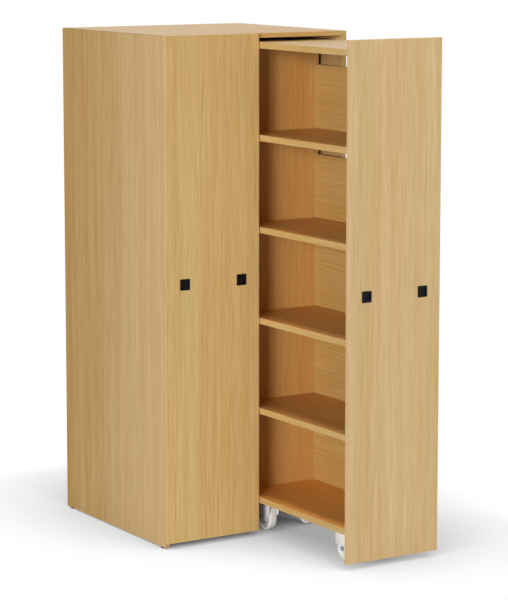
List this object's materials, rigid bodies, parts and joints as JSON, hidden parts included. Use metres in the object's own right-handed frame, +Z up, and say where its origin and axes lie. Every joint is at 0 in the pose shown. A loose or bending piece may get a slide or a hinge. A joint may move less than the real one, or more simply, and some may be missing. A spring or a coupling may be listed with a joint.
{
  "type": "pull-out shelf cabinet",
  "caption": "Tall office cabinet in beech laminate with two side-by-side shelf units that pull out on castors; one is closed and the other is pulled out.",
  "frame": {"origin": "on the floor, under the middle of the whole part as it stands, with the right unit pulled out", "axes": "+Z up; +X to the right as one faces the fronts; +Y from the fronts to the back"},
  "size_m": [0.82, 1.4264, 1.95],
  "materials": {
    "beech": "satin beech laminate, upright grain",
    "beech_inside": "satin beech laminate, grain along each board",
    "black_plastic": "fine matt",
    "white_plastic": "moulded nylon",
    "white_steel": "white powder coat",
    "aluminium": "black anodised"
  },
  "bodies": {
    "carcass": {"side_panel_left": "beech", "side_panel_right": "beech", "top_panel": "beech", "back_panel": "beech", "guide_channel_left": "aluminium", "guide_channel_right": "aluminium", "glide_front_left": "black_plastic", "glide_rear_left": "black_plastic", "glide_front_right": "black_plastic", "glide_rear_right": "black_plastic"},
    "left_pullout": {"left_front_panel": "beech", "left_rear_panel": "beech_inside", "left_bottom_board": "beech_inside", "left_shelf_1": "beech_inside", "left_shelf_2": "beech_inside", "left_shelf_3": "beech_inside", "left_shelf_4": "beech_inside", "left_top_board": "beech_inside", "left_side_board_1": "beech_inside", "left_side_board_2": "beech_inside", "left_side_board_3": "beech_inside", "left_side_board_4": "beech_inside", "left_side_board_5": "beech_inside", "left_pull_1": "black_plastic", "left_pull_2": "black_plastic", "left_castor_front_open_fork": "white_steel", "left_castor_rear_open_fork": "white_steel", "left_castor_front_side_fork": "white_steel", "left_castor_rear_side_fork": "white_steel", "left_guide_block": "white_plastic"},
    "left_castor_front_open_wheel": {"left_castor_front_open_wheel": "white_plastic"},
    "left_castor_rear_open_wheel": {"left_castor_rear_open_wheel": "white_plastic"},
    "left_castor_front_side_wheel": {"left_castor_front_side_wheel": "white_plastic"},
    "left_castor_rear_side_wheel": {"left_castor_rear_side_wheel": "white_plastic"},
    "right_pullout": {"right_front_panel": "beech", "right_rear_panel": "beech_inside", "right_bottom_board": "beech_inside", "right_shelf_1": "beech_inside", "right_shelf_2": "beech_inside", "right_shelf_3": "beech_inside", "right_shelf_4": "beech_inside", "right_top_board": "beech_inside", "right_side_board_1": "beech_inside", "right_side_board_2": "beech_inside", "right_side_board_3": "beech_inside", "right_side_board_4": "beech_inside", "right_side_board_5": "beech_inside", "right_pull_1": "black_plastic", "right_pull_2": "black_plastic", "right_castor_front_open_fork": "white_steel", "right_castor_rear_open_fork": "white_steel", "right_castor_front_side_fork": "white_steel", "right_castor_rear_side_fork": "white_steel", "right_guide_block": "white_plastic"},
    "right_castor_front_open_wheel": {"right_castor_front_open_wheel": "white_plastic"},
    "right_castor_rear_open_wheel": {"right_castor_rear_open_wheel": "white_plastic"},
    "right_castor_front_side_wheel": {"right_castor_front_side_wheel": "white_plastic"},
    "right_castor_rear_side_wheel": {"right_castor_rear_side_wheel": "white_plastic"}
  },
  "joints": [
    {"name": "left_slide", "type": "slide", "parent": "carcass", "child": "left_pullout", "axis": [0, -1, 0], "range_m": [0, 0.65]},
    {"name": "left_front_open_roll", "type": "hinge", "parent": "left_pullout", "child": "left_castor_front_open_wheel", "pos_m": [-0.09, 0.01915, 0.05], "axis": [1, 0, 0], "continuous": true},
    {"name": "left_rear_open_roll", "type": "hinge", "parent": "left_pullout", "child": "left_castor_rear_open_wheel", "pos_m": [-0.09, 0.58515, 0.05], "axis": [1, 0, 0], "continuous": true},
    {"name": "left_front_side_roll", "type": "hinge", "parent": "left_pullout", "child": "left_castor_front_side_wheel", "pos_m": [-0.279, 0.01915, 0.05], "axis": [1, 0, 0], "continuous": true},
    {"name": "left_rear_side_roll", "type": "hinge", "parent": "left_pullout", "child": "left_castor_rear_side_wheel", "pos_m": [-0.279, 0.58515, 0.05], "axis": [1, 0, 0], "continuous": true},
    {"name": "right_slide", "type": "slide", "parent": "carcass", "child": "right_pullout", "axis": [0, -1, 0], "range_m": [-0.6045, 0.0455]},
    {"name": "right_front_open_roll", "type": "hinge", "parent": "right_pullout", "child": "right_castor_front_open_wheel", "pos_m": [0.09, -0.58535, 0.05], "axis": [1, 0, 0], "continuous": true},
    {"name": "right_rear_open_roll", "type": "hinge", "parent": "right_pullout", "child": "right_castor_rear_open_wheel", "pos_m": [0.09, -0.01935, 0.05], "axis": [1, 0, 0], "continuous": true},
    {"name": "right_front_side_roll", "type": "hinge", "parent": "right_pullout", "child": "right_castor_front_side_wheel", "pos_m": [0.279, -0.58535, 0.05], "axis": [1, 0, 0], "continuous": true},
    {"name": "right_rear_side_roll", "type": "hinge", "parent": "right_pullout", "child": "right_castor_rear_side_wheel", "pos_m": [0.279, -0.01935, 0.05], "axis": [1, 0, 0], "continuous": true}
  ],
  "couplings": [
    {"joint": "left_front_open_roll", "follows": "left_slide", "rad_per_m": 20},
    {"joint": "left_rear_open_roll", "follows": "left_slide", "rad_per_m": 20},
    {"joint": "left_front_side_roll", "follows": "left_slide", "rad_per_m": 20},
    {"joint": "left_rear_side_roll", "follows": "left_slide", "rad_per_m": 20},
    {"joint": "right_front_open_roll", "follows": "right_slide", "rad_per_m": 20},
    {"joint": "right_rear_open_roll", "follows": "right_slide", "rad_per_m": 20},
    {"joint": "right_front_side_roll", "follows": "right_slide", "rad_per_m": 20},
    {"joint": "right_rear_side_roll", "follows": "right_slide", "rad_per_m": 20}
  ]
}
